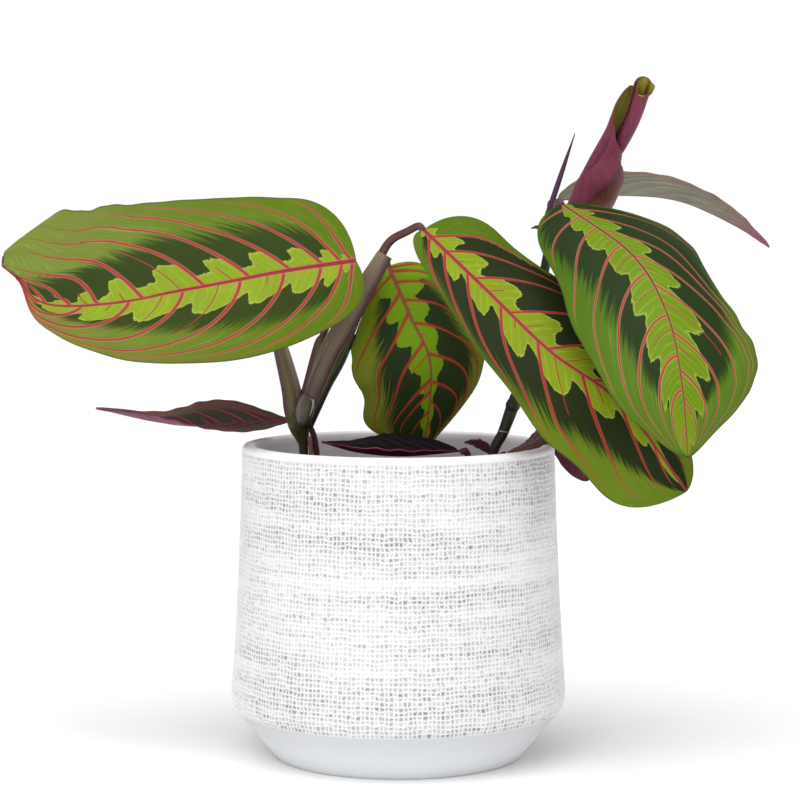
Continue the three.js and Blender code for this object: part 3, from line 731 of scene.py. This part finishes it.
topParts = ("tone", "veinWidth", "ribWidth", "dark", "mid", "midTip", "streak", "vein",
            "border", "rib", "margin", "lime", "limeEdge")
# painted light and shade: bright, deep, dense and shaded are one leaf colouring as each leaf looks in its own
# light, and tone is a painted brightness for each leaf that makes up for the light it gets
palettes = {  # in the order of topParts; a leaf with no lime centre leaves the last two out
    "bright": (0.66, 0.62, 0.98, (56, 74, 18), (104, 132, 18), (132, 148, 58), (166, 182, 88),
        (152, 50, 62), (176, 118, 74), (150, 42, 62), (84, 76, 46), (154, 180, 36), (180, 196, 84)),
    "deep": (0.7, 0.52, 0.8, (42, 52, 22), (94, 124, 18), (116, 142, 32), (140, 162, 60), (156, 42, 50),
        (168, 106, 66), (148, 44, 60), (74, 76, 40), (146, 170, 26), (184, 196, 78)),
    "dense": (0.74, 0.44, 0.55, (42, 60, 25), (84, 120, 22), (94, 128, 32), (146, 170, 86), (158, 54, 58),
        (190, 144, 98), (122, 60, 54), (60, 72, 38), (118, 150, 24), (160, 184, 70)),
    "shaded": (0.95, 0.52, 0.62, (40, 54, 26), (108, 130, 14), (132, 138, 46), (104, 124, 40),
        (168, 48, 42), (104, 74, 42), (148, 70, 62), (56, 56, 28), (112, 150, 12), (112, 144, 30)),
    "dusk": (1.1, 0.36, 0.5, (64, 66, 54), (84, 80, 66), (108, 96, 82), (100, 96, 80), (172, 56, 76),
        (104, 66, 66), (166, 44, 72), (130, 44, 62)),
    "nearBlack": (0.75, 0.25, 0.4, (16, 13, 17), (22, 17, 22), (34, 32, 32), (36, 32, 34), (44, 16, 28),
        (26, 16, 22), (50, 18, 32), (48, 24, 32)),
    "duskGreen": (0.85, 0.4, 0.6, (62, 60, 40), (80, 78, 50), (86, 70, 50), (98, 92, 64), (150, 36, 60),
        (92, 54, 58), (150, 40, 66), (140, 34, 52)),
}
underParts = ("base", "blotch", "vein", "line", "tip")
undersides = {  # in the order of underParts
    "purple": ((120, 28, 74), (92, 34, 62), (152, 52, 92), (86, 20, 54)),
    "wine": ((104, 34, 58), (74, 26, 42), (126, 44, 72), (70, 20, 38)),
    "rose": ((122, 86, 94), (92, 62, 68), (140, 70, 84), (84, 56, 62)),
    "grey": ((136, 136, 114), (112, 112, 94), (132, 84, 80), (170, 168, 150), (146, 78, 100)),
}


def lineMask(distance, width, soft=0.25):  # 1 on a line of this half width
    return 1 - (distance / width).fade(1 - soft, 1 + soft)


def finishColours(parts, values):  # colours by name; a part that isn't a colour stays a number
    return {part: colour(*value) if isinstance(value, tuple) else value for part, value in zip(parts, values)}


def leafTop(name, leaf):
    material, tree, surface = newMaterial(name, 0.48, 0.07)
    look = finishColours(topParts, palettes[leaf["finish"]])
    phase, gap, across, ahead, side, fromRib = (
        attribute(tree, label) for label in ("phase", "veinGap", "across", "ahead", "side", "fromRib")
    )
    share = phase.step("FRACT")
    seed = side * 37.3 + phase.step("FLOOR")
    fromVein = share.step("MINIMUM", 1 - share) * gap
    toTip = ahead.fade(0.72, 1)
    width = (1 - across * 0.6) * (1 - toTip * 0.72) * look["veinWidth"]
    there = phase.step("GREATER_THAN", -0.3) * (1 - across.fade(0.86, 0.97)) * (1 - ahead.fade(0.93, 0.99))
    vein = lineMask(fromVein, width) * there
    border = lineMask(fromVein, width * 1.8, 0.35) * there
    streaks = noise(tree, 1, 3, spot(tree, phase * 16, across * 3, seed))
    fine = noise(tree, 1, 2, spot(tree, phase * 44, across * 3.5, side))
    broad = noise(tree, 60, 3)
    cells = noise(tree, 1500, 2)

    uneven = noise(tree, 1, 2, spot(tree, seed, across))
    reach = attribute(tree, "dark") + (streaks - 0.5) * 0.8 + (uneven - 0.5) * 0.3
    dark = 1 - reach.fade(0.78, 1.12)
    light = fine.fade(0.55, 0.72) * reach.fade(0.72, 1.0) * (1 - across.fade(0.72, 0.95))
    body = blend(tree, ahead.fade(0.1, 0.9), look["mid"], look["midTip"])
    body = blend(tree, light * 0.8, body, look["streak"])
    body = blend(tree, dark, body, look["dark"])
    if "lime" in look:
        left, right = (share.curve(points) for points in leaf["edge"])
        edge = left + (right - left) * side
        rough = noise(tree, 1, 3, spot(tree, phase * 8, across * 6, seed))
        comb = (phase * 4.6 + rough).step("FRACT")
        edge = edge + comb * leaf["teeth"] + (rough - 0.5) * 0.07
        inside = edge - attribute(tree, "lime")
        lime = inside.fade(-0.006, 0.008)
        rim = lime * (1 - inside.fade(0.008, 0.03))
        body = blend(tree, lime, body, look["lime"])
        pale = rim.step("MAXIMUM", lime * (1 - (comb - 0.5).step("ABSOLUTE").fade(0.0, 0.16)) * 0.45)
        body = blend(tree, pale, body, look["limeEdge"])
    # painted light and shade: the leaf's tone lightens or darkens all its colours for the light that leaf
    # gets; broad and cell noise vary it at random
    body = shaded(tree, body, ((broad + cells * 0.3) * 0.3 + 0.8) * look["tone"])
    body = blend(tree, border * 0.55, body, look["border"])
    body = blend(tree, vein, body, look["vein"])
    minor = lineMask((share - 0.38).step("ABSOLUTE") * gap, 0.26 - across * 0.2, 0.4)
    minor = minor * attribute(tree, "minor").step("LESS_THAN", 1)
    body = blend(tree, minor, body, look["vein"])
    ribWidth = (1 - ahead * 0.72) * look["ribWidth"]
    ribBorder = lineMask(fromRib, ribWidth * 1.6, 0.3)
    body = blend(tree, ribBorder * 0.5, body, look["border"])
    rib = lineMask(fromRib, ribWidth)
    body = blend(tree, rib, body, shaded(tree, look["rib"], 0.8 + fromRib.fade(0.5, 0) * 0.3))
    body = blend(tree, across.fade(0.982, 0.995), body, look["margin"])
    height = fine * 0.35 + cells * 0.25 - border * 0.5 - ribBorder * 0.7
    paint(tree, surface, body, height, 0.00025, 0.8)
    return material


def leafUnder(name):
    material, tree, surface = newMaterial(name + "Underside", 0.5, 0.25)
    look = finishColours(underParts, undersides[name])
    phase, across, ahead = (attribute(tree, label) for label in ("phase", "across", "ahead"))
    share = phase.step("FRACT")
    vein = lineMask(share.step("MINIMUM", 1 - share) * attribute(tree, "veinGap"), 0.35, 0.5)
    grain = across * (1 - ahead * 0.8) * 20 + attribute(tree, "side") * 31
    fine = noise(tree, 1, 2, spot(tree, grain, ahead * 3))
    base = blend(tree, noise(tree, 70, 3), look["base"], look["blotch"])
    base = blend(tree, fine.fade(0.5, 0.75) * 0.55, base, look["line"])
    vein = vein * (1 - ahead.fade(0.55, 0.85))
    base = blend(tree, vein * 0.55, base, look["vein"])
    rib = lineMask(attribute(tree, "fromRib"), 1.0 - ahead * 0.7)
    base = blend(tree, rib, base, look["vein"])
    if "tip" in look:
        base = blend(tree, ahead.fade(0.6, 1), base, look["tip"])
    paint(tree, surface, base, fine * 0.4 + vein.step("MAXIMUM", rib) * 0.8, 0.0003, 0.8)
    return material


underFinishes = {name: leafUnder(name) for name in undersides}
for number, (leafName, leafData) in enumerate(leaves.items()):
    bothSides = (leafTop(leafName + "Top", leafData), underFinishes[leafData["under"]])
    makeBlade(leafName, leafData, bothSides, number)
print("leaf blades ready")


# rolled leaf

rolledLeaf = {
    # wrap: height, centre across, centre back, half width, margin angle, start angle; 0 faces the front
    # flapLine and bulgeLine: height and angle of the two folds; tube: the rolled middle and its radius
    "wrap": [(206.5, 71.5, 22, 1.6, 115, -250), (213, 75.4, 19.5, 7.6, 115, -250),
        (220.8, 78, 16.5, 10.1, 115, -250), (228.8, 80.9, 13.5, 9.8, 112, -250),
        (234.4, 82.2, 11.3, 8.3, 104, -250), (238.7, 82.6, 9.7, 6.5, 80, -240),
        (245.1, 86, 7.3, 6.4, 8, -230), (250.6, 89.3, 5, 6.8, -30, -225), (255.6, 91.4, 3.2, 7, -66, -220),
        (260.7, 93.2, 1.3, 6.9, -86, -215), (264.9, 95.1, -0.3, 6.2, -90, -206),
        (267.6, 96.6, -1.3, 5, -92, -200)],
    "flatness": 0.85, "overlap": 0.08, "foldLift": 0.55,
    "flapLine": [(226, -105), (231.3, -75), (237.3, -22), (242.8, -14), (250, -34)],
    "bulgeLine": [(206, -60), (213, -40), (221.2, -15), (224.5, 2), (228.8, 21), (234.4, 45), (238.7, 85),
        (246, 150)],
    "tube": [(83.4, 10, 236.4, 2.8), (88.3, 6.6, 244.2, 3.4), (93.4, 2.4, 255, 3.6),
        (97, -1.4, 267.2, 3.9)],
    "tubeTurns": 1.45, "innermost": 1.3, "cut": 3.1, "lip": 1.3, "rows": 90, "columns": 130,
    "thickness": 0.34,
}
rolledLooks = {  # base, blotches, fine lines, and the browned side
    "rolledPurple": ((122, 48, 74), (98, 40, 56), (136, 66, 88), (92, 50, 32)),
    "rolledOlive": ((150, 142, 30), (112, 108, 24), (166, 152, 60), (112, 108, 24)),
}


def ease(value, start, end):  # 0 at start and 1 at end, smooth between
    share = np.clip((value - start) / (end - start), 0, 1)
    return share * share * (3 - 2 * share)


def makeRolledLeaf():
    shares = (np.linspace(0, 1, rolledLeaf[label] + 1) for label in ("rows", "columns"))
    s, t = np.meshgrid(*shares, indexing="ij")
    height, x, y, half, margin, start = np.moveaxis(along(rolledLeaf["wrap"], s), -1, 0)
    turn = start + (margin - start) * t
    fromLine = {}  # millimetres to the right of each fold
    for label in ("flapLine", "bulgeLine"):
        heights, angles = np.array(rolledLeaf[label], float).T
        fromLine[label] = np.radians(turn - np.interp(height, heights, angles)) * half
    flap, bulge = fromLine["flapLine"], fromLine["bulgeLine"]
    upper = ease(height, 224, 230) * (1 - ease(height, 244, 250))
    lift = (ease(flap, -0.7, 0.1) * upper - ease(bulge, -0.2, 0.9)) * np.minimum(1, half / 6)
    reach = half * (1 - rolledLeaf["overlap"] * (1 - t)) + rolledLeaf["foldLift"] * lift
    turn = np.radians(turn)
    outward, forward = reach * np.sin(turn), reach * np.cos(turn) * rolledLeaf["flatness"]
    points = np.stack([x + outward, y - forward, height + 0 * turn], axis=-1)
    shade = np.exp(-(flap / 2.2) ** 2) * (flap < 0.1) * upper + 0.8 * np.exp(-((bulge - 0.4) / 1.5) ** 2)
    values = {"ahead": s, "across": t, "shade": shade, "brown": ease(bulge, 0, 1.2)}
    wrap = gridPiece("rolledWrap", points, values)

    tube = along(rolledLeaf["tube"], s)
    centre, outer = tube[..., :3], tube[..., 3]
    heading = unit(np.gradient(centre, axis=0))
    front = unit(np.array([0, -1, 0]) + heading * heading[..., 1:2])
    right = np.cross(heading, front)
    turn = np.radians(-100) - math.tau * rolledLeaf["tubeTurns"] * (1 - t)
    reach = rolledLeaf["innermost"] + (outer - rolledLeaf["innermost"]) * t ** 0.6
    atTop = ease(s, 0.9, 1)
    atLip = np.exp(-((np.sin(turn) - 0.95) / 0.12) ** 2) * ease(t, 0.5, 0.7)
    reach = reach + rolledLeaf["lip"] * atTop * atLip
    points = centre - heading * (rolledLeaf["cut"] * atTop * np.cos(turn))[..., None]
    points = points + front * (reach * np.cos(turn))[..., None] + right * (reach * np.sin(turn))[..., None]
    shade = 0.8 * (1 - ease(s, 0.2, 0.6))
    tube = gridPiece("rolledTube", points, {"ahead": s, "across": t, "shade": shade, "brown": 0 * s})
    for part in (wrap, tube):
        thicken(part, rolledOutside, rolledInside, rolledLeaf["thickness"], 0)
    placeOnPlant(joinPieces("leaf_rolled_dressed", [wrap, tube]), "leaf_rolled")


def rolledMaterial(name):
    material, tree, surface = newMaterial(name, 0.45, 0.25)
    base, blotch, line, brown = (colour(*value) for value in rolledLooks[name])
    ahead, across = attribute(tree, "ahead"), attribute(tree, "across")
    fine = noise(tree, 1, 3, spot(tree, ahead * 12 + across * 26, ahead * 2))
    tone = blend(tree, noise(tree, 90, 3), base, blotch)
    tone = blend(tree, attribute(tree, "brown") * 0.85, tone, brown)
    tone = blend(tree, fine.fade(0.45, 0.75) * 0.45, tone, line)
    tone = shaded(tree, tone, 1 - attribute(tree, "shade") * 0.5)
    paint(tree, surface, tone, fine, 0.0003, 0.7)
    return material


rolledOutside, rolledInside = (rolledMaterial(name) for name in rolledLooks)
makeRolledLeaf()
print("rolled leaf ready")


# stems, sheaths and stalks

stem = {"sides": 28, "step": 1.1, "petioleEnds": (3.2, 0.7), "samples": 400, "ridges": 0.025}

leftShoot = {  # finish, radius along it, route, and the leaf that it carries
    "stemLeft": ("stemOlive", [1.75, 1.75, 2.7, 4.2, 4.9, 3.6], [(-38.3, 8, 92), (-38.3, 8, 120),
        (-38.9, 8, 126.5), (-39.9, 8, 130.5), (-39.4, 8, 134), (-38.8, 8, 137)]),
    "stemThin": ("stalkPink", [0.8, 0.8, 0.8], [(-35.3, 6, 92), (-35.3, 6, 121), (-36.3, 6.5, 127)]),
    "sheathOuter": ("sheathOlive", [4, 4.1, 3.9, 3.1, 1.8], [(-40.4, 9, 131), (-42.3, 10.5, 138),
        (-43.6, 13, 146), (-47.8, 20, 161), (-51.5, 23.5, 172)]),
    "node": ("nodePurple", [1.6, 3.3, 3.6, 2.6], [(-38.4, 3.6, 132), (-37.9, 2.8, 135.5),
        (-37.2, 2.7, 139.5), (-36.2, 4.2, 143.5)]),
    "scar": ("scarPale", [0.2, 0.5, 0.4, 0.15], [(-35.6, 1, 142.8), (-34.1, -0.2, 142.2),
        (-34.4, -0.7, 139.4), (-35.4, -0.6, 136.2)]),
    "sheathLong": ("sheathPurple", [2.7, 3.6, 4.2, 4.4, 4.1, 3.2], [(-36.2, 4.6, 139), (-32.6, 4.5, 149),
        (-27.9, 4, 161), (-22.8, 3.5, 170), (-14, 3, 186), (-5.5, 4, 200.5)]),
    "membrane": ("membrane", [0.2, 0.35, 0.3, 0.15], [(-37.6, 1.8, 144), (-34.9, 1.2, 152),
        (-30.2, 0.6, 162), (-24.6, 0.2, 171)]),
    "internode": ("stemGreen", [3.2, 3.3, 3.2, 3, 2.2], [(-38, 9, 131), (-34, 9, 140), (-29.6, 9, 149),
        (-24.4, 8.5, 158), (-19, 7, 169)]),
    "sheathShort": ("sheathOlive", [3, 2.9, 2.8, 2.2, 0.8], [(-38.7, 10, 136), (-35.4, 12, 149),
        (-32.6, 12.5, 160), (-31.4, 12.5, 165.5), (-30.2, 12.3, 168.6)]),
    "petioleHidden": ("stalkBrown", [1.5, 1.4], [(-50, 22, 168), (-52.6, 24, 175)], "leaf_hidden_back"),
    "petioleMiddle": ("stalkBrown", [1.8, 1.4], [(-10, 3.5, 193), (-6, 4, 202), (-2.5, 2, 206.6),
        (3.5, -3, 209.8)], "leaf_middle_right"),
    "petioleCentre": ("stalkBrown", [1.6, 1.3], [(-22, 8, 162), (-14.5, 15, 180), (-8.5, 20, 191)],
        "leaf_centre_back"),
    "petioleLarge": ("stalkBrown", [1.5, 1.3, 1.1], [(-33, 14, 159), (-30.9, 12.5, 167), (-26.3, 6, 177),
        (-21.8, -3, 188), (-20, -8.4, 195.6)]),
}
rightShoot = {
    "stemRight": ("stemDark", [2, 2, 2.2, 2.6, 2, 1.9, 1.9, 1.7], [(38, 10, 92), (38, 10, 118),
        (42.4, 10, 128.7), (46.4, 11, 139.6), (49.7, 12, 149.7), (55.2, 12, 174), (59.5, 10, 197.5),
        (61.8, 8, 211)]),
    "joint": ("stemDark", [1.5, 3, 1.6], [(45.2, 10.4, 136), (46.3, 10.4, 139.5), (47.6, 10.8, 143)]),
    "thread": ("scarPale", [0.2, 0.25, 0.2], [(40.2, 9.4, 129.3), (42.2, 7.4, 129.1), (45, 9, 128.6)]),
    "stipule": ("stalkBrown", [1.3, 0.9, 0.2], [(58.6, 6, 208), (56, 4, 211.4), (53, 3.2, 211)]),
    "spearStub": ("stemDark", [1.6, 1.3], [(60.6, 9.4, 205), (59.3, 10.3, 211.7)]),
    "stalkRolled": ("stalkBrown", [1.5, 1.4, 1.3], [(59.4, 10, 197), (66, 15, 201), (71.3, 20.8, 205.2)]),
    "petioleUpper": ("stalkBrown", [1.6, 1.4], [(61.4, 8.2, 209), (62.6, 5, 215.6)], "leaf_upper_right"),
    "petioleEdgeOn": ("stalkBrown", [1.4, 1.1], [(61.2, 8.6, 207), (62, 20, 213), (62.6, 36, 219.5)],
        "leaf_edge_on_right"),
}
looseStalks = {
    "stalk_low_left": ("stalkRed", [1.3, 1.1], [(-33.5, 16, 92), (-33.3, 16, 117.5), (-35.5, 17.5, 129),
        (-40, 19.2, 132.6)], "leaf_low_left"),
    "stalk_in_pot": ("stalkRed", [1.3, 1.2], [(29, -7, 92), (29, -8, 112)], "leaf_in_pot"),
    "stalk_over_rim": ("stalkRed", [1.3, 1.2], [(34, 2, 92), (34.5, 2.6, 112)], "leaf_over_rim"),
    "stalk_small": ("stalkRed", [1, 0.9], [(38, -4, 92), (38.2, -3.4, 112)], "leaf_small"),
}
spear = ("spearPurple", [1.2, 1, 0.15], [(58.9, 10.5, 212.9), (65, 8, 232), (70.6, 6, 249)])

stemParts = ("left", "front", "right", "line", "low")
# partly painted light and shade: each stem's left, front and right colours mix its own colours with how those
# sides are lit, lighter on lit sides and darker on shaded ones, as in the node's pale left highlight
stemLooks = {  # in the order of stemParts: as seen from the front, then the fine lines and the lower end
    "stemOlive": ((74, 84, 34), (56, 60, 28), (32, 28, 24), (84, 86, 44), (44, 48, 26)),
    "stemGreen": ((84, 96, 40), (70, 86, 30), (28, 32, 18), (92, 108, 44), (40, 38, 26)),
    "nodePurple": ((128, 112, 122), (96, 96, 70), (60, 46, 46), (122, 118, 100), (62, 50, 50)),
    "membrane": ((140, 126, 120), (140, 126, 116), (120, 100, 96), (170, 158, 146), (110, 92, 92)),
    "scarPale": ((190, 180, 176), (176, 164, 158), (150, 136, 132), (214, 208, 200), (140, 124, 122)),
    "stemDark": ((34, 28, 28), (44, 50, 32), (52, 66, 34), (66, 76, 46), (34, 34, 24)),
    "sheathOlive": ((92, 60, 66), (112, 104, 72), (158, 140, 124), (146, 136, 106), (98, 88, 60)),
    "sheathPurple": ((116, 106, 78), (118, 102, 84), (92, 60, 64), (148, 134, 108), (104, 78, 84)),
    "stalkBrown": ((84, 50, 54), (98, 62, 60), (66, 40, 46), (118, 82, 74), (80, 50, 52)),
    "stalkRed": ((80, 30, 44), (96, 40, 50), (62, 26, 36), (120, 60, 66), (64, 28, 34)),
    "stalkPink": ((140, 84, 92), (150, 96, 100), (104, 58, 66), (172, 124, 124), (90, 50, 56)),
    "spearPurple": ((70, 36, 64), (76, 40, 68), (52, 28, 48), (94, 56, 84), (60, 34, 52)),
}


def stemMaterial(name):
    material, tree, surface = newMaterial(name, 0.45, 0.3)
    look = finishColours(stemParts, stemLooks[name])
    toRight, toFront, ahead = (attribute(tree, label) for label in ("toRight", "toFront", "ahead"))
    lines = noise(tree, 1, 3, spot(tree, toRight * 7, toFront * 7, ahead * 1.6))
    turned = toRight + (noise(tree, 110, 3) - 0.5) * 0.5
    # painted light and shade mixed with the stem's own colours: the colour runs from the left side through
    # the front to the right side, as each side is lit
    tone = blend(tree, turned.fade(-0.75, -0.25), look["left"], look["front"])
    tone = blend(tree, turned.fade(0.35, 0.75), tone, look["right"])
    tone = blend(tree, lines.fade(0.52, 0.68) * 0.6, tone, look["line"])
    tone = blend(tree, 1 - ahead.fade(0.0, 0.25), tone, look["low"])
    paint(tree, surface, tone, lines, 0.0003, 0.7)
    return material


def petioleEnd(leafName):  # up to just short of its blade, in line with the midrib
    base, ahead = (np.array(point, float) for point in leaves[leafName]["midrib"][:2])
    return [tuple(base - unit(ahead - base) * distance) for distance in stem["petioleEnds"]]


def makeStem(name, stalk):
    finish, radii, route, *carried = stalk
    if carried:
        route = route + petioleEnd(*carried)
    shares = np.linspace(0, 1, stem["samples"])
    dense = along(route, shares)
    travelled = np.concatenate([[0], np.cumsum(np.linalg.norm(np.diff(dense, axis=0), axis=1))])
    rows = max(8, round(travelled[-1] / stem["step"]))
    share = np.linspace(0, 1, rows + 1)
    centre = np.stack([np.interp(share * travelled[-1], travelled, dense[:, k]) for k in range(3)], axis=1)
    heading = unit(np.gradient(centre, axis=0))
    front = np.array([0, -1, 0.001])
    sides = []
    for direction in heading:  # carry the front direction along without twist
        front = unit(front - direction * (front @ direction))
        sides.append(front)
    sides = np.array(sides)
    rights = np.cross(sides, heading)
    radius = np.interp(share * travelled[-1], travelled, along(radii, shares))
    turn = np.linspace(0, math.tau, stem["sides"] + 1)
    ridge = 1 + stem["ridges"] * (np.sin(turn * 9) + 0.8 * np.sin(turn * 5 + 1))
    reach = radius[:, None] * ridge[None]
    points = centre[:, None] + sides[:, None] * (reach * np.cos(turn))[..., None]
    points = points - rights[:, None] * (reach * np.sin(turn))[..., None]
    values = {"toRight": np.sin(turn), "toFront": np.cos(turn), "ahead": share[:, None]}
    values = {label: value + 0 * reach for label, value in values.items()}
    piece = gridPiece(name, points, values, tube=True)
    piece.data.materials.append(stemFinishes[finish])
    return piece


stemFinishes = {name: stemMaterial(name) for name in stemLooks}
for side, shoot in (("left", leftShoot), ("right", rightShoot)):
    parts = [makeStem(name, stalk) for name, stalk in shoot.items()]
    placeOnPlant(joinPieces("shoot_" + side + "_dressed", parts), "shoot_" + side)
for stalkName, stalkData in looseStalks.items():
    placeOnPlant(makeStem(stalkName + "_dressed", stalkData), stalkName)
placeOnPlant(makeStem("leaf_spear_dressed", spear), "leaf_spear")
print("stems ready")
